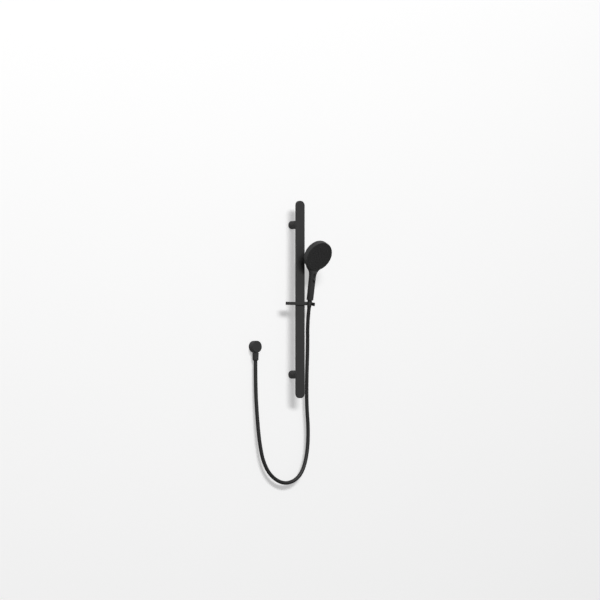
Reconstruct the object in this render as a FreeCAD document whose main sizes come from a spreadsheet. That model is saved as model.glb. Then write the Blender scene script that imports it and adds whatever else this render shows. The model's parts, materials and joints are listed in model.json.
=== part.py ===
import FreeCAD, Part
import Sketcher
import math
import os
import re

# Shower slide rail: wall rail on two posts, slider with tilting cradle, hand shower, hose and wall outlet.
# The wall is the plane Y = 0, the room is on the -Y side and Z is up. The origin is midway between the posts.

doc = FreeCAD.newDocument("shower_slide_rail")
sheet = doc.addObject("Spreadsheet::Sheet", "Sizes")

sizes = {
    # rail and posts
    "rail_length": 790,
    "rail_width": 42,
    "rail_thick": 10,
    "rail_round": 2,
    "rail_corner": 18.5,
    "rail_out": 56,
    "post_span": 600,
    "post_dia": 33,
    "post_bore": 26,
    "post_web": 12,
    "post_bevel": 0.8,
    "edge_break": 0.5,
    "seat_gap": 0.05,
    "anchor_deep": 24,
    "anchor_hole": 5.5,
    "anchor_sink": 11,
    "sink_deep": 6,
    "ease": 0.2,
    "grub_dia": 4,
    "grub_out": 12,
    "grub_sink": 0.5,
    "grub_key": 2.3,
    "groove_deep": 1,
    "rail_screw_dia": 6,
    "rail_screw_head": 10,
    "rail_screw_head_high": 4.8,
    "rail_screw_key": 5.8,
    "rail_screw_grip": 6,
    "tap_spare": 1,
    # wall outlet
    "elbow_side": 191,
    "elbow_low": 191,
    "elbow_dia": 47,
    "elbow_deep": 25,
    "elbow_bevel": 1.2,
    "inlet_bore": 18.6,
    "inlet_deep": 13,
    "outlet_out": 13.6,
    "outlet_dia": 20.4,
    "outlet_bore": 10,
    "outlet_reach": 12,
    "valve_dia": 14.4,
    "valve_long": 10,
    "valve_mouth": 7.2,
    "valve_throat": 3.6,
    "valve_mouth_long": 4,
    "valve_throat_from": 6,
    "gasket_dia": 40,
    "gasket_hole": 27,
    "gasket_thick": 1,
    "washer_thick": 2,
    "washer_lip": 1,
    "washer_slack": 1.4,
    "flange_thick": 2.5,
    "flange_slack": 0.6,
    "nut_top_dia": 25.6,
    "nut_end_dia": 23.6,
    "nut_long": 31,
    "nut_gap": 1,
    "nut_nose": 4,
    "nut_nose_in": 0.9,
    "nut_mouth_in": 3,
    "tail_bore": 8,
    "hose_dia": 15,
    "hose_straight": 60,
    # slider
    "slider_low": 17,
    "bar_reach": 49,
    "bar_end": 9,
    "bar_depth": 20,
    "bar_high": 12,
    "bar_round": 1.2,
    "liner_wall": 1.5,
    "liner_inset": 0.5,
    "glide": 0.4,
    "brake_dia": 7,
    "brake_long": 9,
    "brake_gap": 0.1,
    "cushion_long": 8,
    "cushion_slack": 0.4,
    "pivot_dia": 5,
    "pivot_head": 8,
    "pivot_head_thick": 3,
    "pivot_head_dome": 1,
    "pivot_key": 3.3,
    "pivot_key_deep": 1.8,
    "pivot_grip": 5,
    "pivot_spare": 0.4,
    "pivot_head_gap": 0.3,
    "friction_thick": 0.8,
    "friction_inset": 0.6,
    "cradle_side": 18,
    "cradle_dia": 45,
    "cradle_high": 12,
    "cradle_round": 1.2,
    "cradle_mouth": 16,
    "lean": 10,
    # hand shower
    "cone_top_dia": 19,
    "cone_end_dia": 17,
    "cone_low": 14,
    "cone_nose": 1.4,
    "cone_nose_in": 0.6,
    "sleeve_low": 15.6,
    "sleeve_long": 24,
    "sleeve_dia": 27.6,
    "sleeve_bevel": 0.8,
    "thread_dia": 20.4,
    "thread_long": 13,
    "nipple_bore": 11,
    "nipple_up": 14,
    "nipple_collar": 1,
    "grip_wide": 29,
    "grip_thick": 28.4,
    "grip_taper": 0.5,
    "neck_up": 118,
    "flare_up": 44,
    "flare_wide": 32,
    "grip_wall": 3,
    "tube_dia": 13,
    "tube_bore": 9,
    "tube_over": 6,
    "face_up": 195.5,
    "face_out": 31.3,
    "face_tilt": 16.6,
    "head_dia": 122,
    "head_thick": 24,
    "head_round": 4,
    "face_round": 1.5,
    "ring_wide": 3.2,
    "ring_thick": 3,
    "ring_lap": 1,
    "ring_face": 3,
    "ring_bevel": 0.4,
    "plate_thick": 2.5,
    "plate_sink": 0.6,
    "mat_thick": 2,
    "mat_inset": 4,
    "distributor_thick": 3,
    "distributor_hole": 5,
    "nozzle_dia": 3,
    "nozzle_tip_dia": 2.2,
    "nozzle_bore": 1,
    "nozzle_out": 1.6,
    "nozzle_step": 12.4,
    "slot_up": 106,
    "slot_long": 36,
    "slot_wide": 13,
    "slot_deep": 4,
    "boss_wall": 1.5,
    "boss_deep": 3,
    "bezel_thick": 1.4,
    "bezel_lip": 1.8,
    "thumb_rest": 6,
    "thumb_long": 8,
    "thumb_foot": 1,
    "thumb_slack": 0.4,
    "thumb_round": 1,
    "thumb_out": 4.5,
    # hose
    "loop_low": 737,
}
for row, (alias, amount) in enumerate(sizes.items(), start=1):
    sheet.set("A%d" % row, alias)
    sheet.set("B%d" % row, repr(amount))
    sheet.setAlias("B%d" % row, alias)
doc.recompute()

# Edges shorter than this along an axis count as lying flat across it.
hair = 1e-6
words = re.compile(r"[A-Za-z_]\w*")


def formula(text):
    return words.sub(lambda found: "Sizes." + found[0] if found[0] in sizes else found[0], str(text))


def value(text):
    return float(sheet.evalExpression(formula(text)))


def bind(item, prop, text):
    item.setExpression(prop, formula(text))


def vector(x, y, z):
    return "create(<<vector>>; %s; %s; %s)" % (x, y, z)


def placed(x="0", y="0", z="0", axis=(1, 0, 0), angle="0"):
    turn = "create(<<rotation>>; %s; %s)" % (vector(*axis), angle)
    return "create(<<placement>>; %s; %s)" % (vector(x, y, z), turn)


# The bar's two ends and the cradle's middle are measured outward from the rail's edges.
bar_left = "(rail_width / 2 + bar_reach)"
bar_right = "(rail_width / 2 + bar_end)"
cradle_middle = "(%s + cradle_side)" % bar_right
# The hand shower and its cradle lean forward together about the pivot's line.
hand = placed(cradle_middle, "-rail_out", "-slider_low", (1, 0, 0), "lean")
# The head is turned further down, about the middle of the spray face; its own axis points out of the face.
head = hand + " * " + placed("0", "-face_out", "face_up", (1, 0, 0), "90 + face_tilt")


def stand(item, frame):
    bind(item, "Placement", frame)


def cylinder(name, radius, height, frame=None):
    item = doc.addObject("Part::Cylinder", name)
    bind(item, "Radius", radius)
    bind(item, "Height", height)
    if frame:
        stand(item, frame)
    return item


def cone(name, bottom, top, height, frame=None):
    item = doc.addObject("Part::Cone", name)
    bind(item, "Radius1", bottom)
    bind(item, "Radius2", top)
    bind(item, "Height", height)
    if frame:
        stand(item, frame)
    return item


def block(name, length, width, height, frame=None):
    item = doc.addObject("Part::Box", name)
    bind(item, "Length", length)
    bind(item, "Width", width)
    bind(item, "Height", height)
    if frame:
        stand(item, frame)
    return item


def cut(name, base, *tools):
    item = doc.addObject("Part::Cut", name)
    item.Base = base
    if len(tools) == 1:
        item.Tool = tools[0]
    else:
        item.Tool = fuse(name + "_tools", *tools)
    return item


def fuse(name, *shapes):
    item = doc.addObject("Part::MultiFuse", name)
    item.Shapes = list(shapes)
    return item


def body(name):
    return doc.addObject("PartDesign::Body", name)


def sketch(owner, plane, name, offset=None):
    item = owner.newObject("Sketcher::SketchObject", name)
    planes = {feature.Role: feature for feature in owner.Origin.OriginFeatures}
    item.AttachmentSupport = [(planes[plane], "")]
    item.MapMode = "FlatFace"
    if offset is not None:
        bind(item, "AttachmentOffset.Base.z", offset)
    return item


def pin(item, geometry, point, x, y):
    for kind, text in (("DistanceX", x), ("DistanceY", y)):
        index = item.addConstraint(Sketcher.Constraint(kind, -1, 1, geometry, point, value(text)))
        bind(item, "Constraints[%d]" % index, text)


def polygon(item, corners):
    count = len(corners)
    spots = [FreeCAD.Vector(value(x), value(y), 0) for x, y in corners]
    first = item.GeometryCount
    for i in range(count):
        item.addGeometry(Part.LineSegment(spots[i], spots[(i + 1) % count]))
    for i in range(count):
        item.addConstraint(Sketcher.Constraint("Coincident", first + i, 2, first + (i + 1) % count, 1))
    for i, (x, y) in enumerate(corners):
        pin(item, first + i, 1, x, y)


def rectangle(item, half_wide, half_high):
    # A rectangle about the sketch's origin.
    polygon(item, [("-(%s)" % half_wide, "-(%s)" % half_high), (half_wide, "-(%s)" % half_high),
                   (half_wide, half_high), ("-(%s)" % half_wide, half_high)])


def circle(item, x, y, radius):
    spot = FreeCAD.Vector(value(x), value(y), 0)
    index = item.addGeometry(Part.Circle(spot, FreeCAD.Vector(0, 0, 1), value(radius)))
    pin(item, index, 3, x, y)
    size = item.addConstraint(Sketcher.Constraint("Radius", index, value(radius)))
    bind(item, "Constraints[%d]" % size, radius)


def stadium(item, x, y, half_run, radius, upright):
    # Two half circles joined by two straight sides, about the point x, y.
    run, r = value(half_run), value(radius)
    middle = FreeCAD.Vector(value(x), value(y), 0)
    along = FreeCAD.Vector(0, 1, 0) if upright else FreeCAD.Vector(1, 0, 0)
    aside = FreeCAD.Vector(1, 0, 0) if upright else FreeCAD.Vector(0, -1, 0)
    far, near = middle + along * run, middle - along * run
    normal = FreeCAD.Vector(0, 0, 1)
    start = 0 if upright else -math.pi / 2
    arc_far = item.addGeometry(Part.ArcOfCircle(Part.Circle(far, normal, r), start, start + math.pi))
    arc_near = item.addGeometry(
        Part.ArcOfCircle(Part.Circle(near, normal, r), start + math.pi, start + 2 * math.pi))
    side_a = item.addGeometry(Part.LineSegment(far - aside * r, near - aside * r))
    side_b = item.addGeometry(Part.LineSegment(near + aside * r, far + aside * r))
    for one, end, other, tip in (
        (arc_far, 2, side_a, 1), (side_a, 2, arc_near, 1), (arc_near, 2, side_b, 1), (side_b, 2, arc_far, 1),
    ):
        item.addConstraint(Sketcher.Constraint("Tangent", one, end, other, tip))
    size = item.addConstraint(Sketcher.Constraint("Radius", arc_far, r))
    bind(item, "Constraints[%d]" % size, radius)
    step = " + (%s)" % half_run
    back = " - (%s)" % half_run
    if upright:
        pin(item, arc_far, 3, x, y + step)
        pin(item, arc_near, 3, x, y + back)
    else:
        pin(item, arc_far, 3, x + step, y)
        pin(item, arc_near, 3, x + back, y)


def pad(owner, profile, name, length, both=False, reverse=False):
    item = owner.newObject("PartDesign::Pad", name)
    item.Profile = profile
    bind(item, "Length", length)
    item.Midplane = both
    item.Reversed = reverse
    return item


def pocket(owner, profile, name, length, both=False, reverse=False, through=False):
    item = owner.newObject("PartDesign::Pocket", name)
    item.Profile = profile
    if through:
        item.Type = "ThroughAll"
        item.Midplane = True
    else:
        bind(item, "Length", length)
        item.Midplane = both
        item.Reversed = reverse
    return item


def rounded(owner, base, name, radius, choose):
    # Rounds the edges of the last feature that choose picks.
    doc.recompute()
    picked = ["Edge%d" % (i + 1) for i, edge in enumerate(base.Shape.Edges) if choose(edge)]
    item = owner.newObject("PartDesign::Fillet", name)
    item.Base = (base, picked)
    bind(item, "Radius", radius)
    return item


def turned(name, corners, frame=None):
    # A turned piece: the half section's corners as radius and height about its own upright axis.
    owner = body(name)
    profile = sketch(owner, "XZ_Plane", name + "_section")
    polygon(profile, corners)
    spin = owner.newObject("PartDesign::Revolution", name + "_turn")
    spin.Profile = profile
    spin.ReferenceAxis = (profile, ["V_Axis"])
    spin.Angle = 360
    if frame:
        stand(owner, frame)
    return owner


nodes = {}


def keep(label, item):
    item.Label = label
    nodes[label] = item


# Rail: a flat bar with rounded corners and two tapped holes in its back.
rail = body("rail_bar")
outline = sketch(rail, "XZ_Plane", "rail_outline")
rectangle(outline, "rail_width / 2", "rail_length / 2")
rail_pad = pad(rail, outline, "rail_pad", "rail_thick", both=True)
rail_ends = rounded(rail, rail_pad, "rail_corners", "rail_corner",
                    lambda edge: edge.BoundBox.YLength > hair)
rounded(rail, rail_ends, "rail_edges", "rail_round", lambda edge: edge.BoundBox.YLength < hair)
doc.recompute()
taps = sketch(rail, "XZ_Plane", "rail_taps", offset="-rail_thick / 2")
for side in ("", "-"):
    circle(taps, "0", side + "post_span / 2", "rail_screw_dia / 2")
pocket(rail, taps, "rail_tap_holes", "rail_screw_grip + tap_spare", reverse=True)
stand(rail, placed("0", "-rail_out", "0"))
keep("rail", rail)

# Posts: sleeves with a deep bore towards the wall, a web under the rail and a tapped hole below.
post_long = "(rail_out - rail_thick / 2)"
web_start = "(%s - post_web)" % post_long
for name, sign in (("upper", ""), ("lower", "-")):
    height = sign + "post_span / 2"
    outward = placed("0", "0", height, (1, 0, 0), "90")
    sleeve = turned(name + "_post_turned", [
        ("post_bore / 2", "0"),
        ("post_dia / 2 - post_bevel", "0"),
        ("post_dia / 2", "post_bevel"),
        ("post_dia / 2", post_long),
        ("rail_screw_dia / 2 + ease", post_long),
        ("rail_screw_dia / 2 + ease", web_start),
        ("post_bore / 2", web_start),
    ], outward)
    grub_frame = placed("0", "-grub_out", height, (1, 0, 0), "180")
    tap = cylinder(name + "_post_tap", "grub_dia / 2", "post_dia", grub_frame)
    keep(name + "_post", cut(name + "_post_cut", sleeve, tap))

    # Anchor: a plug on the wall with a countersunk screw hole and a groove for the grub screw.
    plug_r = "(post_bore / 2 - ease)"
    keep(name + "_anchor", turned(name + "_anchor_turned", [
        ("anchor_hole / 2", "0"),
        (plug_r, "0"),
        (plug_r, "grub_out - grub_dia / 2 - groove_deep"),
        (plug_r + " - groove_deep", "grub_out - grub_dia / 2"),
        (plug_r + " - groove_deep", "grub_out + grub_dia / 2"),
        (plug_r, "grub_out + grub_dia / 2 + groove_deep"),
        (plug_r, "anchor_deep - post_bevel"),
        (plug_r + " - post_bevel", "anchor_deep"),
        ("anchor_sink / 2", "anchor_deep"),
        ("anchor_sink / 2", "anchor_deep - sink_deep"),
        ("anchor_hole / 2", "anchor_deep - sink_deep - (anchor_sink - anchor_hole) / 2"),
    ], outward))

    # Grub screw, with a socket in its lower end, flush just inside the post.
    grub_top = "(%s - groove_deep)" % plug_r
    grub_long = "(post_dia / 2 - %s - grub_sink)" % grub_top
    grub_at = placed("0", "-grub_out", height + " - " + grub_top, (1, 0, 0), "180")
    grub = cylinder(name + "_grub_rod", "grub_dia / 2", grub_long, grub_at)
    key = doc.addObject("Part::Prism", name + "_grub_key")
    key.Polygon = 6
    bind(key, "Circumradius", "grub_key / 2")
    bind(key, "Height", "grub_dia / 2")
    stand(key, placed("0", "-grub_out", "%s - %s - %s + grub_dia / 2" % (height, grub_top, grub_long),
                      (1, 0, 0), "180"))
    keep(name + "_grub_screw", cut(name + "_grub", grub, key))

    # Rail screw: from inside the post's bore, through the web, into the rail.
    head_start = "(%s - rail_screw_head_high)" % web_start
    screw = turned(name + "_rail_screw_turned", [
        ("0", head_start),
        ("rail_screw_head / 2 - edge_break", head_start),
        ("rail_screw_head / 2", head_start + " + edge_break"),
        ("rail_screw_head / 2", web_start),
        ("rail_screw_dia / 2", web_start),
        ("rail_screw_dia / 2", post_long + " + rail_screw_grip - edge_break"),
        ("rail_screw_dia / 2 - edge_break", post_long + " + rail_screw_grip"),
        ("0", post_long + " + rail_screw_grip"),
    ], outward)
    socket = doc.addObject("Part::Prism", name + "_rail_screw_key")
    socket.Polygon = 6
    bind(socket, "Circumradius", "rail_screw_key / 2")
    bind(socket, "Height", "rail_screw_dia / 2")
    stand(socket, outward + " * " + placed("0", "0", head_start))
    keep(name + "_rail_screw", cut(name + "_rail_screw_cut", screw, socket))

# Wall outlet: a round body with a threaded inlet behind and a threaded spigot below.
elbow_at = placed("-elbow_side", "0", "-elbow_low", (1, 0, 0), "90")
elbow_round = turned("elbow_turned", [
    ("0", "0"),
    ("elbow_dia / 2", "0"),
    ("elbow_dia / 2", "elbow_deep - elbow_bevel"),
    ("elbow_dia / 2 - elbow_bevel", "elbow_deep"),
    ("0", "elbow_deep"),
], elbow_at)
spigot_top = placed("-elbow_side", "-outlet_out", "-elbow_low", (1, 0, 0), "180")
spigot_long = "(elbow_dia / 2 + outlet_reach)"
spigot = cylinder("elbow_spigot", "outlet_dia / 2", spigot_long, spigot_top)
elbow_whole = fuse("elbow_whole", elbow_round, spigot)
inlet = cylinder("elbow_inlet", "inlet_bore / 2", "inlet_deep", elbow_at)
way = cylinder("elbow_way", "outlet_bore / 2", "outlet_out", elbow_at)
drop = cylinder("elbow_drop", "outlet_bore / 2", spigot_long, spigot_top)
seat = cylinder("elbow_valve_seat", "valve_dia / 2", "valve_long",
                placed("-elbow_side", "-outlet_out", "-elbow_low - %s" % spigot_long))
rebate = cylinder("elbow_gasket_rebate", "gasket_dia / 2", "gasket_thick", elbow_at)
keep("elbow_body", cut("elbow_cut", elbow_whole, inlet, way, drop, seat, rebate))
keep("wall_gasket", turned("wall_gasket_turned", [
    ("gasket_hole / 2", "0"),
    ("gasket_dia / 2", "0"),
    ("gasket_dia / 2", "gasket_thick"),
    ("gasket_hole / 2", "gasket_thick"),
], elbow_at))

# What follows hangs under the spigot; heights are measured down from the spigot's end.
spigot_end = placed("-elbow_side", "-outlet_out", "-elbow_low - %s" % spigot_long)
keep("check_valve", turned("check_valve_turned", [
    ("valve_mouth / 2", "0"),
    ("valve_dia / 2 - edge_break", "0"),
    ("valve_dia / 2", "edge_break"),
    ("valve_dia / 2", "valve_long"),
    ("valve_throat / 2", "valve_long"),
    ("valve_throat / 2", "valve_throat_from"),
    ("valve_mouth / 2", "valve_mouth_long"),
], spigot_end))
keep("elbow_washer", turned("elbow_washer_turned", [
    ("tail_bore / 2 + washer_lip", "-washer_thick"),
    ("outlet_dia / 2 - washer_slack", "-washer_thick"),
    ("outlet_dia / 2 - washer_slack", "0"),
    ("tail_bore / 2 + washer_lip", "0"),
], spigot_end))
nut_top = "(outlet_reach - nut_gap)"
nut_low = "(%s - nut_long)" % nut_top
flange_low = "(-washer_thick - flange_thick)"
tail_r = "(hose_dia / 2 + ease)"
keep("elbow_nut", turned("elbow_nut_turned", [
    ("outlet_dia / 2", nut_top),
    ("nut_top_dia / 2 - edge_break", nut_top),
    ("nut_top_dia / 2", nut_top + " - edge_break"),
    ("nut_end_dia / 2", nut_low + " + nut_nose"),
    ("nut_end_dia / 2 - nut_nose_in", nut_low + " + nut_nose / 2"),
    ("nut_end_dia / 2 - nut_mouth_in", nut_low),
    (tail_r, nut_low),
    (tail_r, flange_low),
    ("outlet_dia / 2", flange_low),
], spigot_end))
keep("elbow_hose_tail", turned("elbow_hose_tail_turned", [
    ("tail_bore / 2", nut_low),
    ("hose_dia / 2", nut_low),
    ("hose_dia / 2", flange_low),
    ("outlet_dia / 2 - flange_slack", flange_low),
    ("outlet_dia / 2 - flange_slack", "-washer_thick"),
    ("tail_bore / 2", "-washer_thick"),
], spigot_end))

# Slider: a slim cross bar with a window round the rail, a rounded grip end and a flat end for the cradle.
bar = body("slider_bar")
bar_plan = sketch(bar, "XY_Plane", "slider_plan")
half_run = "((%s + %s) / 2 - bar_depth / 2)" % (bar_left, bar_right)
middle = "((%s - %s) / 2)" % (bar_right, bar_left)
stadium(bar_plan, middle, "0", half_run, "bar_depth / 2", False)
bar_pad = pad(bar, bar_plan, "slider_pad", "bar_high", both=True)
square_end = sketch(bar, "XY_Plane", "slider_square_plan")
polygon(square_end, [
    (bar_right + " - bar_depth", "-bar_depth / 2"),
    (bar_right, "-bar_depth / 2"),
    (bar_right, "bar_depth / 2"),
    (bar_right + " - bar_depth", "bar_depth / 2"),
])
bar_square = pad(bar, square_end, "slider_square", "bar_high", both=True)
bar_soft = rounded(bar, bar_square, "slider_edges", "bar_round",
                   lambda edge: edge.BoundBox.ZLength < hair)
window = sketch(bar, "XY_Plane", "slider_window")
window_x = "(rail_width / 2 + glide + liner_wall)"
window_y = "(rail_thick / 2 + glide + liner_wall)"
rectangle(window, window_x, window_y)
pocket(bar, window, "slider_window_cut", "bar_high", through=True)
slider_at = placed("0", "-rail_out", "-slider_low")
stand(bar, slider_at)
brake_back = "(rail_width / 2 + brake_gap)"
brake_room = cylinder("slider_brake_room", "brake_dia / 2 + ease", "brake_long + cushion_long + brake_gap",
                      slider_at + " * " + placed("-rail_width / 2", "0", "0", (0, 1, 0), "-90"))
pivot_tap = cylinder("slider_pivot_tap", "pivot_dia / 2", "pivot_grip + pivot_spare",
                     slider_at + " * " + placed(bar_right, "0", "0", (0, 1, 0), "-90"))
keep("slider_body", cut("slider_cut", bar, brake_room, pivot_tap))

liner = body("liner_frame")
liner_plan = sketch(liner, "XY_Plane", "liner_plan")
rectangle(liner_plan, window_x, window_y)
pad(liner, liner_plan, "liner_pad", "bar_high - 2 * liner_inset", both=True)
liner_gap = sketch(liner, "XY_Plane", "liner_gap")
rectangle(liner_gap, "rail_width / 2 + glide", "rail_thick / 2 + glide")
pocket(liner, liner_gap, "liner_gap_cut", "bar_high", through=True)
stand(liner, slider_at)
liner_port = cylinder("liner_port", "brake_dia / 2 + ease", "brake_long",
                      slider_at + " * " + placed("-rail_width / 2", "0", "0", (0, 1, 0), "-90"))
keep("slider_liner", cut("liner_cut", liner, liner_port))

brake_at = slider_at + " * " + placed("-" + brake_back, "0", "0", (0, 1, 0), "-90")
keep("brake_pad", turned("brake_pad_turned", [
    ("0", "0"),
    ("brake_dia / 2 - edge_break", "0"),
    ("brake_dia / 2", "edge_break"),
    ("brake_dia / 2", "brake_long"),
    ("0", "brake_long"),
], brake_at))
keep("brake_cushion", turned("brake_cushion_turned", [
    ("0", "brake_long"),
    ("brake_dia / 2 - cushion_slack", "brake_long"),
    ("brake_dia / 2 - cushion_slack", "brake_long + cushion_long"),
    ("0", "brake_long + cushion_long"),
], brake_at))

# Cradle: a ring with a cone seat, a mouth in front for the hose and a flat side on the pivot.
flat_at = "(friction_thick - cradle_side)"
cone_slope = "((cone_top_dia - cone_end_dia) / 2 / (sleeve_low + cone_low))"
seat_low = "(cone_end_dia / 2 + (cone_low - cradle_high / 2) * %s + ease)" % cone_slope
seat_high = "(cone_end_dia / 2 + (cone_low + cradle_high / 2) * %s + ease)" % cone_slope
ring = body("cradle_ring")
ring_plan = sketch(ring, "XY_Plane", "cradle_plan")
circle(ring_plan, "0", "0", "cradle_dia / 2")
ring_pad = pad(ring, ring_plan, "cradle_pad", "cradle_high", both=True)
rounded(ring, ring_pad, "cradle_edges", "cradle_round",
        lambda edge: edge.BoundBox.ZLength < hair)
side_plan = sketch(ring, "XY_Plane", "cradle_flat_plan")
polygon(side_plan, [("-cradle_dia", "-cradle_dia"), (flat_at, "-cradle_dia"),
                    (flat_at, "cradle_dia"), ("-cradle_dia", "cradle_dia")])
pocket(ring, side_plan, "cradle_flat", "cradle_high", through=True)
mouth_plan = sketch(ring, "XY_Plane", "cradle_mouth_plan")
polygon(mouth_plan, [("-cradle_mouth / 2", "-cradle_dia"), ("cradle_mouth / 2", "-cradle_dia"),
                     ("cradle_mouth / 2", "0"), ("-cradle_mouth / 2", "0")])
pocket(ring, mouth_plan, "cradle_mouth_cut", "cradle_high", through=True)
stand(ring, hand)
seat_cone = cone("cradle_seat", seat_low, seat_high, "cradle_high",
                 hand + " * " + placed("0", "0", "-cradle_high / 2"))
pivot_way = cylinder("cradle_pivot_way", "pivot_dia / 2 + ease", "cradle_dia / 2",
                     hand + " * " + placed(flat_at + " - friction_thick", "0", "0", (0, 1, 0), "90"))
recess_at = "(-(%s) - pivot_head_gap - pivot_head_thick)" % seat_high
pivot_recess = cylinder("cradle_pivot_recess", "pivot_head / 2 + ease", "cradle_dia / 2",
                        hand + " * " + placed(recess_at, "0", "0", (0, 1, 0), "90"))
keep("cradle", cut("cradle_cut", ring, seat_cone, pivot_way, pivot_recess))
keep("friction_washer", turned("friction_washer_turned", [
    ("pivot_dia / 2 + ease", "0"),
    ("bar_high / 2 - friction_inset", "0"),
    ("bar_high / 2 - friction_inset", "friction_thick - seat_gap"),
    ("pivot_dia / 2 + ease", "friction_thick - seat_gap"),
], slider_at + " * " + placed(bar_right, "0", "0", (0, 1, 0), "90")))
screw_end = "(%s - pivot_grip)" % bar_right
head_from = "(%s + %s + seat_gap)" % (cradle_middle, recess_at)
pivot_screw = turned("pivot_screw_turned", [
    ("0", screw_end),
    ("pivot_dia / 2 - edge_break", screw_end),
    ("pivot_dia / 2", screw_end + " + edge_break"),
    ("pivot_dia / 2", head_from),
    ("pivot_head / 2", head_from),
    ("pivot_head / 2", head_from + " + pivot_head_thick - pivot_head_dome"),
    ("pivot_head / 2 - pivot_head_dome", head_from + " + pivot_head_thick"),
    ("0", head_from + " + pivot_head_thick"),
], slider_at + " * " + placed("0", "0", "0", (0, 1, 0), "90"))
pivot_key = doc.addObject("Part::Prism", "pivot_screw_key")
pivot_key.Polygon = 6
bind(pivot_key, "Circumradius", "pivot_key / 2")
bind(pivot_key, "Height", "pivot_head_thick")
stand(pivot_key, slider_at + " * " + placed(head_from + " + pivot_head_thick - pivot_key_deep", "0", "0",
                                            (0, 1, 0), "90"))
keep("pivot_screw", cut("pivot_screw_cut", pivot_screw, pivot_key))

# Hose nut of the hand shower: a plain sleeve on the thread and a cone that stands in the cradle.
sleeve_top = "(sleeve_low + sleeve_long)"
thread_low = "(%s - thread_long)" % sleeve_top
tail_top = "(%s - washer_thick)" % thread_low
tail_under = "(%s - flange_thick)" % tail_top
nut_hole = "(hose_dia / 2 - flange_slack)"
keep("handset_nut", turned("handset_nut_turned", [
    ("thread_dia / 2", sleeve_top),
    ("sleeve_dia / 2 - edge_break", sleeve_top),
    ("sleeve_dia / 2", sleeve_top + " - edge_break"),
    ("sleeve_dia / 2", "sleeve_low + sleeve_bevel"),
    ("sleeve_dia / 2 - sleeve_bevel", "sleeve_low"),
    ("cone_top_dia / 2", "sleeve_low"),
    ("cone_end_dia / 2", "-cone_low + cone_nose"),
    ("cone_end_dia / 2 - cone_nose_in", "-cone_low"),
    (nut_hole, "-cone_low"),
    (nut_hole, tail_under),
    ("thread_dia / 2", tail_under),
], hand))
keep("handset_hose_tail", turned("handset_hose_tail_turned", [
    ("tail_bore / 2", "-cone_low"),
    (nut_hole + " - ease", "-cone_low"),
    (nut_hole + " - ease", tail_under),
    ("thread_dia / 2 - flange_slack", tail_under),
    ("thread_dia / 2 - flange_slack", tail_top),
    ("tail_bore / 2", tail_top),
], hand))
keep("filter_washer", turned("filter_washer_turned", [
    ("tail_bore / 2 + washer_lip", tail_top),
    ("thread_dia / 2 - washer_slack", tail_top),
    ("thread_dia / 2 - washer_slack", thread_low),
    ("tail_bore / 2 + washer_lip", thread_low),
], hand))

# Handle and head shell: oval sections drawn up the handle and out into the head, one moulding.
# The handle swells a little up to the neck, and then flares.
grip_share = (0, 0.3, 0.6, 0.85)
# Up the flare, the shares of its height, its widening, its change of thickness, its shift and its tilt.
flare_shares = (
    (0.09, 0.07, 0.20, 0.03, 0.2),
    (0.30, 0.22, 0.60, 0.12, 0.5),
    (0.48, 0.45, 0.90, 0.21, 0.8),
    (0.68, 0.75, 1.00, 0.52, 1.0),
    (1.00, 1.00, 1.00, 1.00, 1.0),
)
flare_shift = "(face_out * flare_up / (face_up - neck_up) / 2)"
thick_end = "(head_thick / 2 - face_round)"
sections = []
for share in grip_share:
    up = "%s + (neck_up - %s) * %g" % (sleeve_top, sleeve_top, share)
    slim = "grip_taper * %g" % (1 - share)
    sections.append((up, "grip_wide / 2 - " + slim, "grip_thick / 2 - " + slim, "0", "0"))
for up, wide, thick, out, tilt in flare_shares:
    sections.append((
        "neck_up + flare_up * %g" % up,
        "grip_wide / 2 + flare_wide * %g" % wide,
        "grip_thick / 2 + (%s - grip_thick / 2) * %g" % (thick_end, thick),
        "%s * %g" % (flare_shift, out),
        "face_tilt * %g" % tilt,
    ))
ovals = []
hollows = []
for index, (up, wide, thick, out, turn) in enumerate(sections):
    for group, wall, kind in ((ovals, "0", "skin"), (hollows, "grip_wall", "core")):
        oval = doc.addObject("Part::Ellipse", "handset_%s_%d" % (kind, index))
        bind(oval, "MajorRadius", "%s - %s" % (wide, wall))
        bind(oval, "MinorRadius", "%s - %s" % (thick, wall))
        stand(oval, placed("0", "-(%s)" % out, up, (1, 0, 0), turn))
        group.append(oval)
skin = doc.addObject("Part::Loft", "handset_skin")
skin.Sections = ovals
skin.Solid = True
skin.Ruled = False
core = doc.addObject("Part::Loft", "handset_core")
core.Sections = hollows
core.Solid = True
core.Ruled = False

head_local = placed("0", "-face_out", "face_up", (1, 0, 0), "90 + face_tilt")
dish = body("head_dish")
dish_section = sketch(dish, "XZ_Plane", "head_dish_section")
polygon(dish_section,
        [("0", "0"), ("head_dia / 2", "0"), ("head_dia / 2", "-head_thick"), ("0", "-head_thick")])
dish_turn = dish.newObject("PartDesign::Revolution", "head_dish_turn")
dish_turn.Profile = dish_section
dish_turn.ReferenceAxis = (dish_section, ["V_Axis"])
dish_turn.Angle = 360
back_edge = rounded(dish, dish_turn, "head_back_edge", "head_round",
                    lambda edge: edge.BoundBox.ZMax < -hair and edge.BoundBox.XLength > hair)
rounded(dish, back_edge, "head_face_edge", "face_round",
        lambda edge: edge.BoundBox.ZMin > -hair and edge.BoundBox.XLength > hair)
stand(dish, head_local)
outside = fuse("handset_outside", skin, dish)
room_depth = "(head_thick - grip_wall)"
room_r = "(head_dia / 2 - ring_wide + ring_lap)"
room = cylinder("head_room", room_r, room_depth,
                head_local + " * " + placed("0", "0", "-" + room_depth))
shell = cut("handset_shell", outside, core, room)
slot_floor = "(grip_thick / 2 - slot_deep)"
boss = block("selector_boss", "slot_wide + 2 * boss_wall", "boss_deep", "slot_long + 2 * boss_wall",
             placed("-slot_wide / 2 - boss_wall", "-%s" % slot_floor, "slot_up - slot_long / 2 - boss_wall"))
boss_in = doc.addObject("Part::Common", "selector_boss_in")
boss_in.Base = boss
boss_in.Tool = skin
web_shell = fuse("handset_web", shell, boss_in)


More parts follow.
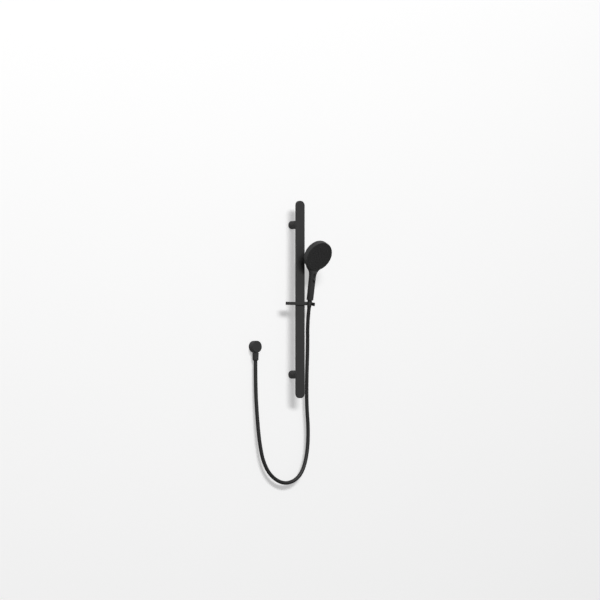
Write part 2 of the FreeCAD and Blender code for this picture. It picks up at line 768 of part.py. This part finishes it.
def upright_slot(name, wide, long, depth, front, frame):
    # A rounded slot body seen from the front of the handle, its back face at the given distance out.
    owner = body(name)
    plan = sketch(owner, "XZ_Plane", name + "_plan")
    stadium(plan, "0", "0", "(%s - %s) / 2" % (long, wide), "%s / 2" % wide, True)
    pad(owner, plan, name + "_pad", depth)
    stand(owner, frame + placed("0", "-(%s)" % front, "slot_up"))
    return owner


recess = upright_slot("selector_recess", "slot_wide", "slot_long", "slot_deep * 2", slot_floor, "")
socket_bore = cylinder("nipple_socket", "thread_dia / 2 + nipple_collar", "nipple_up",
                       placed("0", "0", sleeve_top))
handset = cut("handset_cut", web_shell, recess, socket_bore)
stand(handset, hand)
keep("handset_body", handset)

keep("inlet_nipple", turned("inlet_nipple_turned", [
    ("nipple_bore / 2", thread_low),
    ("thread_dia / 2 - flange_slack", thread_low),
    ("thread_dia / 2 - seat_gap", thread_low + " + flange_slack"),
    ("thread_dia / 2 - seat_gap", sleeve_top),
    ("thread_dia / 2 + nipple_collar", sleeve_top),
    ("thread_dia / 2 + nipple_collar", sleeve_top + " + nipple_up"),
    ("nipple_bore / 2", sleeve_top + " + nipple_up"),
], hand))
keep("water_tube", turned("water_tube_turned", [
    ("tube_bore / 2", sleeve_top + " + nipple_up"),
    ("tube_dia / 2", sleeve_top + " + nipple_up"),
    ("tube_dia / 2", "neck_up + tube_over"),
    ("tube_bore / 2", "neck_up + tube_over"),
], hand))

# Face: water plate, soft nozzle mat, spray plate and the ring that holds them, all about the head's own axis.
plate_back = "(-plate_thick - plate_sink)"
mat_back = "(%s - mat_thick)" % plate_back
mat_r = "(%s - mat_inset)" % room_r
keep("face_ring", turned("face_ring_turned", [
    (room_r + " - ring_face", "-ring_thick"),
    (room_r + " - seat_gap", "-ring_thick"),
    (room_r + " - seat_gap", "-ring_bevel"),
    (room_r + " - seat_gap - ring_bevel", "0"),
    (room_r + " - ring_face + ring_bevel", "0"),
    (room_r + " - ring_face", "-ring_bevel"),
], head))
plate = body("spray_disc")
disc_plan = sketch(plate, "XY_Plane", "spray_plan", offset=plate_back)
circle(disc_plan, "0", "0", room_r + " - ring_face - seat_gap")
pad(plate, disc_plan, "spray_pad", "plate_thick")
mat = body("nozzle_sheet")
mat_plan = sketch(mat, "XY_Plane", "mat_plan", offset=mat_back)
circle(mat_plan, "0", "0", mat_r)
pad(mat, mat_plan, "mat_pad", "mat_thick")
water = body("distributor_disc")
water_plan = sketch(water, "XY_Plane", "distributor_plan", offset=mat_back + " - distributor_thick")
circle(water_plan, "0", "0", mat_r)
pad(water, water_plan, "distributor_pad", "distributor_thick")
tip_long = "(plate_thick + plate_sink + nozzle_out)"


def around(owner, feature, name, count):
    # Repeats a feature evenly about the head's axis.
    item = owner.newObject("PartDesign::PolarPattern", name)
    item.Originals = [feature]
    axes = {part.Role: part for part in owner.Origin.OriginFeatures}
    item.Axis = (axes["Z_Axis"], [""])
    item.Angle = 360
    item.Occurrences = count
    owner.Tip = item
    return item


nozzle_counts = (1, 6, 12, 18, 24)
gate_count = 12
gate_ring = 3
for ring_index, count in enumerate(nozzle_counts):
    reach = "nozzle_step * %d" % ring_index
    hole_plan = sketch(plate, "XY_Plane", "spray_hole_plan_%d" % ring_index)
    circle(hole_plan, reach, "0", "nozzle_dia / 2 + ease")
    hole = pocket(plate, hole_plan, "spray_hole_%d" % ring_index, "plate_thick", through=True)
    tip_plan = sketch(mat, "XY_Plane", "nozzle_plan_%d" % ring_index, offset=plate_back)
    circle(tip_plan, reach, "0", "nozzle_dia / 2")
    tip = pad(mat, tip_plan, "nozzle_%d" % ring_index, tip_long)
    bind(tip, "TaperAngle", "-atan((nozzle_dia - nozzle_tip_dia) / 2 / %s)" % tip_long)
    if count > 1:
        around(plate, hole, "spray_holes_%d" % ring_index, count)
        around(mat, tip, "nozzles_%d" % ring_index, count)
    bore_plan = sketch(mat, "XY_Plane", "nozzle_bore_plan_%d" % ring_index)
    circle(bore_plan, reach, "0", "nozzle_bore / 2")
    bore = pocket(mat, bore_plan, "nozzle_bore_%d" % ring_index, "mat_thick", through=True)
    if count > 1:
        around(mat, bore, "nozzle_bores_%d" % ring_index, count)
gate_plan = sketch(water, "XY_Plane", "distributor_hole_plan")
circle(gate_plan, "nozzle_step * %d" % gate_ring, "0", "distributor_hole / 2")
gate = pocket(water, gate_plan, "distributor_gate", "distributor_thick", through=True)
around(water, gate, "distributor_gates", gate_count)
stand(plate, head)
stand(mat, head)
stand(water, head)
keep("distributor", water)
keep("spray_plate", plate)
keep("nozzle_mat", mat)

# Thumb selector: a slide on the recess floor, held under the lips of a thin bezel.
bezel_back = "(%s + thumb_foot + 2 * ease)" % slot_floor
bezel_outer = upright_slot("bezel_outer", "slot_wide", "slot_long", "bezel_thick", bezel_back, hand + " * ")
bezel_gap = upright_slot("bezel_gap", "(slot_wide - 2 * bezel_lip)", "(slot_long - 2 * bezel_lip)",
                         "bezel_thick * 3", bezel_back + " - bezel_thick", hand + " * ")
keep("selector_bezel", cut("bezel_cut", bezel_outer, bezel_gap))
thumb = body("thumb_slide")
foot_plan = sketch(thumb, "XZ_Plane", "thumb_foot_plan")
foot_run = "(thumb_long / 5)"
knob_run = "(thumb_long / 10)"
stadium(foot_plan, "0", "0", foot_run, "slot_wide / 2 - thumb_slack", True)
pad(thumb, foot_plan, "thumb_foot_pad", "thumb_foot")
knob_plan = sketch(thumb, "XZ_Plane", "thumb_knob_plan")
stadium(knob_plan, "0", "0", knob_run, "slot_wide / 2 - bezel_lip - thumb_slack", True)
knob = pad(thumb, knob_plan, "thumb_knob", "slot_deep + thumb_out")
knob_base = value("slot_deep")
rounded(thumb, knob, "thumb_edge", "thumb_round",
        lambda edge: edge.BoundBox.YMax < -knob_base and edge.BoundBox.YLength < hair)
stand(thumb, hand + " * " + placed("0", "-(%s + ease)" % slot_floor, "slot_up - thumb_rest"))
keep("mode_slider", thumb)

# Hose: hangs from the cone in one loop and rises to the wall outlet. Bends are as large as their runs allow.
lean = math.radians(value("lean"))
cone_low = value("cone_low")
top = FreeCAD.Vector(value(cradle_middle), -value("rail_out") + cone_low * math.sin(lean),
                     -value("slider_low") - cone_low * math.cos(lean))
end_height = value("-elbow_low - %s + %s" % (spigot_long, nut_low))
end = FreeCAD.Vector(-value("elbow_side"), -value("outlet_out"), end_height)
low = -value("loop_low")
wide = top.x - end.x
near = value("outlet_out")
far = -top.y


def bend(side, out, height, rise_from):
    # side runs from 0 at the outlet to 1 under the hand shower, out from the outlet's distance to the cone's.
    y = -(near + (far - near) * out)
    return FreeCAD.Vector(end.x + wide * side, y, low + (rise_from.z - low) * height)


route = [
    top,
    top + FreeCAD.Vector(0, math.sin(lean), -math.cos(lean)) * value("hose_straight"),
    bend(1.044, 0.435, 0.7750, top),
    bend(1.043, 0.285, 0.6050, top),
    bend(1.054, 0.185, 0.4500, top),
    bend(1.097, 0.150, 0.3060, top),
    bend(1.074, 0.160, 0.1760, top),
    bend(0.975, 0.210, 0.0720, top),
    bend(0.798, 0.245, 0.0155, top),
    bend(0.549, 0.260, 0.0000, top),
    bend(0.301, 0.245, 0.0590, end),
    bend(0.139, 0.210, 0.1720, end),
    bend(0.060, 0.160, 0.3420, end),
    bend(0.020, 0.085, 0.5620, end),
    bend(0.000, 0.000, 0.7850, end),
    end,
]
# Each corner is rounded by an arc that takes this share of the shorter of its two sides.
bend_share = 0.45
edges = []
here = route[0]
radii = []
hose_r = value("hose_dia") / 2
for before, corner, after in zip(route, route[1:], route[2:]):
    inward = (corner - before).normalize()
    onward = (after - corner).normalize()
    turn = inward.getAngle(onward)
    back = bend_share * min((corner - before).Length, (after - corner).Length)
    radius = back / math.tan(turn / 2)
    radii.append(radius)
    start = corner - inward * back
    finish = corner + onward * back
    to_centre = (onward - inward).normalize()
    middle_point = corner + to_centre * (radius / math.cos(turn / 2) - radius)
    edges.append(Part.LineSegment(here, start).toShape())
    edges.append(Part.Arc(start, middle_point, finish).toShape())
    here = finish
edges.append(Part.LineSegment(here, route[-1]).toShape())
path = Part.Wire(edges)
ring_edge = Part.Circle(route[0], route[1] - route[0], hose_r).toShape()
tube = path.makePipeShell([Part.Wire([ring_edge])], True, False)
hose = doc.addObject("Part::Feature", "hose_tube")
hose.Shape = tube
hose.Placement = FreeCAD.Placement()
keep("hose", hose)

doc.recompute()
print("hose length %.1f mm, tightest bend %.0f mm" % (path.Length, min(radii)))

wrong = [item.Name for item in doc.Objects if {"Invalid", "Error"} & set(item.State)]
for label, item in nodes.items():
    shape = item.Shape
    if shape.isNull() or not shape.isValid() or len(shape.Solids) != 1 or shape.Volume <= 0:
        wrong.append("%s (%d solids)" % (label, 0 if shape.isNull() else len(shape.Solids)))
if wrong:
    raise SystemExit("not written: " + ", ".join(wrong))
os.makedirs("parts", exist_ok=True)
for label, item in nodes.items():
    item.Shape.exportStep("parts/%s.step" % label)
print(len(nodes), "nodes written")
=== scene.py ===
import json
import math

import bmesh
import bpy
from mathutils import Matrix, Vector


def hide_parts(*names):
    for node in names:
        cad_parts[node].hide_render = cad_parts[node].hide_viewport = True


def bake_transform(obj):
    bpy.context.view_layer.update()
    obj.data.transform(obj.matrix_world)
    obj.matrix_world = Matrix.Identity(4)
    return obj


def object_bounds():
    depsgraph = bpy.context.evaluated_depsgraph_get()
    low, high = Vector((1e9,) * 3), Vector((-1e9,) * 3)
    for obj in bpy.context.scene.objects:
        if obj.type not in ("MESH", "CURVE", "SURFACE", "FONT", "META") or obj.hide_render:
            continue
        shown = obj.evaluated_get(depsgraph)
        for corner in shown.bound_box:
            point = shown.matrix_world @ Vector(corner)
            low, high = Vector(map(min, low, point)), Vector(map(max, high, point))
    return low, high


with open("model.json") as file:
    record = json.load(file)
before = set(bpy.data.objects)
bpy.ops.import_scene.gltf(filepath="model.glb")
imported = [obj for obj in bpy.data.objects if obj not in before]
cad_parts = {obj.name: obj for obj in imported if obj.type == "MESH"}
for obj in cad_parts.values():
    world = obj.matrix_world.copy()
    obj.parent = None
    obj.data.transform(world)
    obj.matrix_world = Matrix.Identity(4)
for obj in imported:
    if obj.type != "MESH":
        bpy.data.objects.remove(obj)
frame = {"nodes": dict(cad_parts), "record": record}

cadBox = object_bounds()
scene = bpy.context.scene
print("frame loaded:", len(frame["nodes"]), "nodes")


# A wire wraps one output socket, so that values over a surface add and multiply as plain numbers do.
class Wire:
    def __init__(self, graph, socket):
        self.graph = graph
        self.socket = socket

    def __add__(self, other):
        return self.graph.maths("ADD", self, other)

    def __radd__(self, other):
        return self.graph.maths("ADD", other, self)

    def __sub__(self, other):
        return self.graph.maths("SUBTRACT", self, other)

    def __rsub__(self, other):
        return self.graph.maths("SUBTRACT", other, self)

    def __mul__(self, other):
        return self.graph.maths("MULTIPLY", self, other)

    def __rmul__(self, other):
        return self.graph.maths("MULTIPLY", other, self)

    def __truediv__(self, other):
        return self.graph.maths("DIVIDE", self, other)

    def __rtruediv__(self, other):
        return self.graph.maths("DIVIDE", other, self)

    def sine(self):
        return self.graph.maths("SINE", self)

    def between(self, low, high):
        step = self.graph.make("ShaderNodeMapRange", {"Value": self, "From Min": low, "From Max": high},
                               interpolation_type="SMOOTHSTEP")
        return Wire(self.graph, step.outputs["Result"])


# A graph fills one node tree, and each node comes from its make.
class Graph:
    def __init__(self, tree):
        self.tree = tree
        self.tree.nodes.clear()

    def make(self, kind, inputs=None, **settings):
        node = self.tree.nodes.new(kind)
        for key, setting in settings.items():
            setattr(node, key, setting)
        self.fill(node, inputs or {})
        return node

    def fill(self, node, inputs):
        for key, given in inputs.items():
            socket = node.inputs[key]
            if isinstance(given, Wire):
                given = given.socket
            if isinstance(given, bpy.types.NodeSocket):
                self.tree.links.new(given, socket)
            else:
                socket.default_value = given

    def maths(self, operation, *values):
        node = self.make("ShaderNodeMath", dict(enumerate(values)), operation=operation)
        return Wire(self, node.outputs["Value"])

    def place(self):
        return Wire(self, self.make("ShaderNodeTexCoord").outputs["Object"])

    def parts(self, vector):
        split = self.make("ShaderNodeSeparateXYZ", {"Vector": vector})
        return [Wire(self, split.outputs[axis]) for axis in "XYZ"]

    def noise(self, vector, scale, detail):
        node = self.make("ShaderNodeTexNoise", {"Vector": vector, "Scale": scale, "Detail": detail})
        return Wire(self, node.outputs["Fac"])

    def cells(self, vector, scale):
        node = self.make("ShaderNodeTexVoronoi", {"Vector": vector, "Scale": scale})
        return Wire(self, node.outputs["Distance"])

    def shift(self, vector, offset):
        node = self.make("ShaderNodeVectorMath", {0: vector, 1: offset}, operation="ADD")
        return Wire(self, node.outputs["Vector"])

    def mix(self, amount, dark, light):
        node = self.make("ShaderNodeMix", {"Factor": amount, "A": dark, "B": light}, data_type="RGBA")
        return Wire(self, node.outputs["Result"])

    def bump(self, height, distance):
        node = self.make("ShaderNodeBump", {"Height": height, "Distance": distance})
        return Wire(self, node.outputs["Normal"])


class Finish(Graph):
    def __init__(self, name):
        self.material = bpy.data.materials.new(name)
        self.material.use_nodes = True
        super().__init__(self.material.node_tree)
        self.surface = self.make("ShaderNodeBsdfPrincipled")
        self.out = self.make("ShaderNodeOutputMaterial", {"Surface": self.surface.outputs["BSDF"]})

    def set(self, inputs):
        self.fill(self.surface, inputs)


opaque = 1.0


def neutral(tone):
    return (tone, tone, tone, opaque)


# Powder coat: fine orange peel, a faint cloudy sheen and dried water marks. An offset gives each piece
# a pattern of its own.
coat = {
    "spread": 0.005,
    "gloss": 0.36,
    "roughness": 0.50,
    "cloudScale": 14.0,
    "cloudDetail": 4.0,
    "cloudShare": 0.7,
    "cloudRough": 0.06,
    "peelScale": 900.0,
    "peelDetail": 2.0,
    "peelDepth": 0.00008,
    "markScale": 70.0,
    "markRim": (0.45, 0.62),
    "markRough": 0.07,
    "pieces": {
        "rail": {"tone": 0.041, "offset": (0.0, 0.0, 0.0)},
        "post": {"tone": 0.037, "offset": (0.31, 0.0, 0.0)},
        "elbow": {"tone": 0.039, "offset": (0.0, 0.47, 0.0)},
        "nut": {"tone": 0.039, "offset": (0.0, 0.0, 0.59)},
        "slider": {"tone": 0.039, "offset": (0.73, 0.0, 0.0)},
    },
}


def coatedMetal(name, tone, offset):
    finish = Finish(name)
    place = finish.shift(finish.place(), offset)
    cloud = finish.noise(place, coat["cloudScale"], coat["cloudDetail"])
    peel = finish.noise(place, coat["peelScale"], coat["peelDetail"])
    marks = finish.cells(place, coat["markScale"]).between(*coat["markRim"])
    shade = coat["cloudShare"] * cloud + (1 - coat["cloudShare"]) * peel
    low = neutral(tone - coat["spread"])
    high = neutral(tone + coat["spread"])
    finish.set({
        "Base Color": finish.mix(shade, low, high),
        "Roughness": coat["roughness"] + coat["cloudRough"] * cloud + coat["markRough"] * marks,
        "Specular IOR Level": coat["gloss"],
        "Normal": finish.bump(peel, coat["peelDepth"]),
    })
    return finish.material


# Satin plastic of the hand shower and the cradle: a finer, spark-eroded grain and a faint cloudy sheen.
plastic = {
    "spread": 0.005,
    "gloss": 0.38,
    "roughness": 0.46,
    "cloudScale": 22.0,
    "cloudDetail": 3.0,
    "cloudShare": 0.6,
    "cloudRough": 0.08,
    "grainScale": 1500.0,
    "grainDetail": 2.0,
    "grainDepth": 0.00005,
    "pieces": {
        "cradle": {"tone": 0.042, "offset": (0.0, 0.83, 0.0)},
        "handset": {"tone": 0.042, "offset": (0.0, 0.0, 0.0)},
        # The spray face is toned darker than the handset: painted shade for a face that turns down, away
        # from the key.
        "face": {"tone": 0.032, "offset": (0.0, 0.0, 0.97)},
        # The bezel is near black: painted shade for the groove round the selector.
        "bezel": {"tone": 0.009, "offset": (0.41, 0.0, 0.0)},
        # The selector is toned lighter than the handset: a painted highlight on the knob.
        "selector": {"tone": 0.077, "offset": (0.0, 0.53, 0.0)},
    },
}


def satinPlastic(name, tone, offset):
    finish = Finish(name)
    place = finish.shift(finish.place(), offset)
    cloud = finish.noise(place, plastic["cloudScale"], plastic["cloudDetail"])
    grain = finish.noise(place, plastic["grainScale"], plastic["grainDetail"])
    shade = plastic["cloudShare"] * cloud + (1 - plastic["cloudShare"]) * grain
    low = neutral(tone - plastic["spread"])
    high = neutral(tone + plastic["spread"])
    finish.set({
        "Base Color": finish.mix(shade, low, high),
        "Roughness": plastic["roughness"] + plastic["cloudRough"] * cloud,
        "Specular IOR Level": plastic["gloss"],
        "Normal": finish.bump(grain, plastic["grainDepth"]),
    })
    return finish.material


# Hose skin: a smooth satin cover over a wound core, whose turns show faintly. Its map layer holds the run
# along the hose and the share of a turn round it.
skin = {
    "layer": "route",
    "tone": 0.019,
    "spread": 0.006,
    "gloss": 0.45,
    "roughness": 0.44,
    "turnPitch": 0.0042,
    "turnDepth": 0.00010,
    "turnShade": 0.3,
    "turnRough": 0.03,
    "grainScale": 700.0,
    "grainDetail": 3.0,
    "grainShade": 0.5,
    "grainRough": 0.10,
    "grainHeight": 0.3,
}


def hoseSkin(name):
    finish = Finish(name)
    route = finish.make("ShaderNodeUVMap", uv_map=skin["layer"])
    run, turn = finish.parts(route.outputs["UV"])[:2]
    ridge = ((run / skin["turnPitch"] + turn) * math.tau).sine()
    grain = finish.noise(finish.place(), skin["grainScale"], skin["grainDetail"])
    shade = skin["turnShade"] * ridge + skin["grainShade"] * grain
    low = neutral(skin["tone"] - skin["spread"])
    high = neutral(skin["tone"] + skin["spread"])
    finish.set({
        "Base Color": finish.mix(shade, low, high),
        "Roughness": skin["roughness"] + skin["grainRough"] * grain - skin["turnRough"] * ridge,
        "Specular IOR Level": skin["gloss"],
        "Normal": finish.bump(ridge + skin["grainHeight"] * grain, skin["turnDepth"]),
    })
    return finish.material


# Plain materials inside, at the back and in the nozzles, by slot.
plain = {
    "detail": 3.0,
    "grainsPerCloud": 12,
    "grainShare": 0.5,
    "darkest": 0.85,
    "lightest": 1.12,
    "roughSpread": 0.10,
    "noiseMiddle": 0.5,
    "slots": {
        "steel": {"stuff": "steel", "tone": (0.55, 0.55, 0.56), "metal": 1.0, "roughness": 0.32,
                  "scale": 400.0, "depth": 0.00003},
        "brass": {"stuff": "brass", "tone": (0.62, 0.46, 0.20), "metal": 1.0, "roughness": 0.30,
                  "scale": 260.0, "depth": 0.00003},
        "zinc": {"stuff": "zinc", "tone": (0.34, 0.34, 0.35), "metal": 0.9, "roughness": 0.52,
                 "scale": 320.0, "depth": 0.00008},
        "seal": {"stuff": "rubber", "tone": (0.020, 0.020, 0.021), "metal": 0.0, "roughness": 0.72,
                 "scale": 900.0, "depth": 0.00006},
        "glide": {"stuff": "nylon", "tone": (0.022, 0.022, 0.023), "metal": 0.0, "roughness": 0.48,
                  "scale": 700.0, "depth": 0.00005},
        "valve": {"stuff": "milky", "tone": (0.62, 0.62, 0.58), "metal": 0.0, "roughness": 0.42,
                  "scale": 300.0, "depth": 0.00004},
        "inside": {"stuff": "grey", "tone": (0.11, 0.11, 0.112), "metal": 0.0, "roughness": 0.45,
                   "scale": 300.0, "depth": 0.00004},
        "nozzle": {"stuff": "silicone", "tone": (0.047, 0.047, 0.048), "metal": 0.0, "roughness": 0.55,
                   "scale": 1100.0, "depth": 0.00004},
    },
}


def plainStuff(look):
    finish = Finish(look["stuff"])
    place = finish.place()
    grain = finish.noise(place, look["scale"], plain["detail"])
    cloud = finish.noise(place, look["scale"] / plain["grainsPerCloud"], plain["detail"])
    shade = plain["grainShare"] * grain + (1 - plain["grainShare"]) * cloud
    low = tuple(channel * plain["darkest"] for channel in look["tone"]) + (opaque,)
    high = tuple(channel * plain["lightest"] for channel in look["tone"]) + (opaque,)
    finish.set({
        "Base Color": finish.mix(shade, low, high),
        "Metallic": look["metal"],
        "Roughness": look["roughness"] + plain["roughSpread"] * (cloud - plain["noiseMiddle"]),
        "Normal": finish.bump(grain, look["depth"]),
    })
    return finish.material


finishes = {"hose": hoseSkin("hoseSkin")}
for slot, look in coat["pieces"].items():
    finishes[slot] = coatedMetal(slot + "Coat", look["tone"], look["offset"])
for slot, look in plastic["pieces"].items():
    finishes[slot] = satinPlastic(slot + "Plastic", look["tone"], look["offset"])
for slot, look in plain["slots"].items():
    finishes[slot] = plainStuff(look)
for subpart in frame["record"]["subparts"]:
    node = frame["nodes"][subpart["node"]]
    node.data.materials.clear()
    node.data.materials.append(finishes[subpart["material_slot"]])
print("materials made:", len(finishes))


# Hose: the route's points go from the hand shower's cone down round the loop and up to the wall outlet.
hose = {
    "diameter": 0.015,
    "length": 1.31,
    "sides": 28,
    "order": 3,
    "resolution": 24,
    "topRun": 0.08,  # the top piece's length
    "slideRun": 0.098,  # a run along the hose, past the seam
    "stretchFrom": (-0.1737, -0.0443, -0.2591),  # a point near the hose's wall end
    "route": (
        (0.0480, -0.0536, -0.0308),
        (0.0480, -0.0432, -0.0899),
        (0.0585, -0.0310, -0.1897),
        (0.0583, -0.0250, -0.3097),
        (0.0609, -0.0210, -0.4192),
        (0.0712, -0.0196, -0.5209),
        (0.0657, -0.0200, -0.6127),
        (0.0420, -0.0220, -0.6862),
        (-0.0003, -0.0234, -0.7261),
        (-0.0598, -0.0240, -0.7370),
        (-0.1191, -0.0234, -0.7081),
        (-0.1578, -0.0220, -0.6526),
        (-0.1767, -0.0200, -0.5692),
        (-0.1862, -0.0170, -0.4613),
        (-0.1910, -0.0136, -0.3520),
        (-0.1910, -0.0136, -0.2465),
    ),
}


def smoothLine(name, points, order, resolution):
    curve = bpy.data.curves.new(name, "CURVE")
    curve.dimensions = "3D"
    curve.resolution_u = resolution
    spline = curve.splines.new("NURBS")
    spline.points.add(len(points) - 1)
    for spot, point in zip(spline.points, points):
        spot.co = (*point, 1.0)
    spline.order_u = order
    spline.use_endpoint_u = True
    holder = bpy.data.objects.new(name, curve)
    scene.collection.objects.link(holder)
    bpy.context.view_layer.update()
    mesh = bpy.data.meshes.new_from_object(holder)
    line = [vertex.co.copy() for vertex in mesh.vertices]
    bpy.data.objects.remove(holder)
    bpy.data.meshes.remove(mesh)
    return line


def tubeRings(line, radius, sides):
    # One ring of points round each point of the line, carried along without twisting.
    rings = []
    turns = [math.tau * step / sides for step in range(sides)]
    side = Vector((0.0, 1.0, 0.0))
    for index, point in enumerate(line):
        ahead = line[min(index + 1, len(line) - 1)]
        behind = line[max(index - 1, 0)]
        heading = (ahead - behind).normalized()
        side = (side - heading * side.dot(heading)).normalized()
        other = heading.cross(side)
        rings.append([point + (side * math.cos(turn) + other * math.sin(turn)) * radius for turn in turns])
    return rings


def tubePiece(name, rings, runs, material):
    sides = len(rings[0])
    mesh = bpy.data.meshes.new(name)
    shape = bmesh.new()
    rows = [[shape.verts.new(point) for point in ring] for ring in rings]
    layer = shape.loops.layers.uv.new(skin["layer"])
    for row in range(len(rows) - 1):
        for step in range(sides):
            after = (step + 1) % sides
            # Each corner's row, its place on the ring and its turn on the map.
            corners = ((row, step, step), (row, after, step + 1),
                       (row + 1, after, step + 1), (row + 1, step, step))
            face = shape.faces.new([rows[level][spot] for level, spot, turn in corners])
            face.smooth = True
            for loop, (level, spot, turn) in zip(face.loops, corners):
                loop[layer].uv = (runs[level], turn / sides)
    for row in (rows[0], rows[-1]):
        for edge in shape.faces.new(row).edges:
            edge.smooth = False  # keeps the end cap out of the tube's shading
    bmesh.ops.recalc_face_normals(shape, faces=shape.faces)
    shape.to_mesh(mesh)
    shape.free()
    mesh.materials.append(material)
    piece = bpy.data.objects.new(name, mesh)
    scene.collection.objects.link(piece)
    return piece


def stepAt(runs, distance):
    return next(index for index, run in enumerate(runs) if run >= distance)


# Two pieces share the ring at the seam: the top piece and the loop.
hoseLine = smoothLine("hoseRoute", hose["route"], hose["order"], hose["resolution"])
hoseRuns = [0.0]
for first, second in zip(hoseLine, hoseLine[1:]):
    hoseRuns.append(hoseRuns[-1] + (second - first).length)
hoseRings = tubeRings(hoseLine, hose["diameter"] / 2, hose["sides"])
seam = stepAt(hoseRuns, hose["topRun"])
hoseTop = tubePiece("hoseTop", hoseRings[:seam + 1], hoseRuns[:seam + 1], finishes["hose"])
hoseLoop = tubePiece("hoseLoop", hoseRings[seam:], hoseRuns[seam:], finishes["hose"])
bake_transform(hoseTop)
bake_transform(hoseLoop)
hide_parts("hose")
print("hose made: %.3f m" % hoseRuns[-1])


# Stage: a pale wall that is clear from behind, and a pale floor below it. Both glow of their own, neither
# casts a shadow or shows in the object's gloss, and the wall alone throws light on the object.
stage = {
    "wall": {"tone": 0.82, "glow": 0.425, "halfWide": 2.1, "top": 1.9, "gap": 0.0006},
    "floor": {"tone": 0.35, "glow": 0.90, "halfWide": 40.0, "drop": 1.6},
    "roughness": 0.9,
    "gloss": 0.0,
    "glowTone": 1.0,
    "mottle": 0.01,
    "mottleScale": 3.0,
    "mottleDetail": 3.0,
}


def panel(name, corners, material, lightsObject):
    mesh = bpy.data.meshes.new(name)
    mesh.from_pydata(corners, [], [range(len(corners))])
    mesh.materials.append(material)
    piece = bpy.data.objects.new(name, mesh)
    scene.collection.objects.link(piece)
    piece.visible_glossy = False
    piece.visible_diffuse = lightsObject
    piece.visible_shadow = False


def plaster(name, look, oneSided):
    finish = Finish(name)
    mottle = finish.noise(finish.place(), stage["mottleScale"], stage["mottleDetail"])
    finish.set({
        "Base Color": finish.mix(mottle, neutral(look["tone"] - stage["mottle"]), neutral(look["tone"])),
        "Roughness": stage["roughness"],
        "Specular IOR Level": stage["gloss"],
        "Emission Color": neutral(stage["glowTone"]),
        "Emission Strength": look["glow"],
    })
    if oneSided:
        behind = finish.make("ShaderNodeNewGeometry").outputs["Backfacing"]
        painted = finish.surface.outputs["BSDF"]
        clear = finish.make("ShaderNodeBsdfTransparent").outputs["BSDF"]
        both = finish.make("ShaderNodeMixShader", {"Fac": behind, 1: painted, 2: clear})
        finish.fill(finish.out, {"Surface": both.outputs["Shader"]})
    return finish.material


wall, floor = stage["wall"], stage["floor"]
floorLevel = cadBox[0].z - floor["drop"]
wallEnds = ((-1, floorLevel), (1, floorLevel), (1, wall["top"]), (-1, wall["top"]))
wallCorners = [(x * wall["halfWide"], wall["gap"], z) for x, z in wallEnds]
floorEnds = ((-1, -1), (1, -1), (1, 1), (-1, 1))
floorCorners = [(x * floor["halfWide"], y * floor["halfWide"], floorLevel) for x, y in floorEnds]
panel("backWall", wallCorners, plaster("wallPaint", wall, oneSided=True), lightsObject=True)
panel("floor", floorCorners, plaster("floorPaint", floor, oneSided=False), lightsObject=False)


# Light: a wide soft key from the front and above, a lamp behind the wall for the object's back, and a pale
# surround that the camera, the gloss and the rest of the light each see at a strength of its own.
lamps = {
    "key": {"azimuth": -8.0, "elevation": 35.0, "distance": 11.0, "target": (0.0, 0.0, 0.0),
            "wide": 6.6, "high": 2.5, "watts": 780.0, "glints": True},
    "rear": {"azimuth": 158.0, "elevation": 6.0, "distance": 7.0, "target": (0.0, 0.0, 0.0),
             "wide": 2.6, "high": 2.6, "watts": 200.0, "glints": False},
}
surround = {"tone": 1.0, "light": 0.12, "seen": 0.96, "glossLow": 0.25, "glossHigh": 0.55,
            "horizon": (-0.3, 0.2)}


def aimed(name, data, look):
    across = math.radians(look["azimuth"])
    up = math.radians(look["elevation"])
    outward = Vector((math.sin(across) * math.cos(up), -math.cos(across) * math.cos(up), math.sin(up)))
    holder = bpy.data.objects.new(name, data)
    holder.location = Vector(look["target"]) + outward * look["distance"]
    holder.rotation_mode = "QUATERNION"
    holder.rotation_quaternion = outward.to_track_quat("Z", "Y")
    scene.collection.objects.link(holder)
    return holder


for name, lamp in lamps.items():
    lampData = bpy.data.lights.new(name + "Lamp", "AREA")
    lampData.shape = "ELLIPSE"
    lampData.size = lamp["wide"]
    lampData.size_y = lamp["high"]
    lampData.energy = lamp["watts"]
    aimed(name + "Lamp", lampData, lamp).visible_glossy = lamp["glints"]
world = bpy.data.worlds.new("surround")
world.use_nodes = True
world.cycles.sampling_method = "NONE"  # because the strength differs with the kind of ray
sky = Graph(world.node_tree)
rays = sky.make("ShaderNodeLightPath").outputs
seen = Wire(sky, rays["Is Camera Ray"])
mirrored = Wire(sky, rays["Is Glossy Ray"])
upward = sky.parts(sky.make("ShaderNodeTexCoord").outputs["Generated"])[2]
lift = upward.between(*surround["horizon"])
gloss = surround["glossLow"] + lift * (surround["glossHigh"] - surround["glossLow"])
light = surround["light"]
strength = light + seen * (surround["seen"] - light) + mirrored * (gloss - light)
glow = sky.make("ShaderNodeBackground", {"Color": neutral(surround["tone"]), "Strength": strength})
sky.make("ShaderNodeOutputWorld", {"Surface": glow.outputs["Background"]})
scene.world = world
scene.view_settings.view_transform = "Standard"


# Camera: a long lens from the left and a little below, aimed at the middle of the rail.
lens = {"azimuth": -38.0, "elevation": -2.1, "distance": 12.8, "target": (0.0, -0.056, -0.0024),
        "length": 192.0, "sensor": 36.0, "farthest": 100.0}
cameraData = bpy.data.cameras.new("camera")
cameraData.lens = lens["length"]
cameraData.sensor_width = lens["sensor"]
cameraData.clip_end = lens["farthest"]
scene.camera = aimed("camera", cameraData, lens)
print("stage, light and camera set")
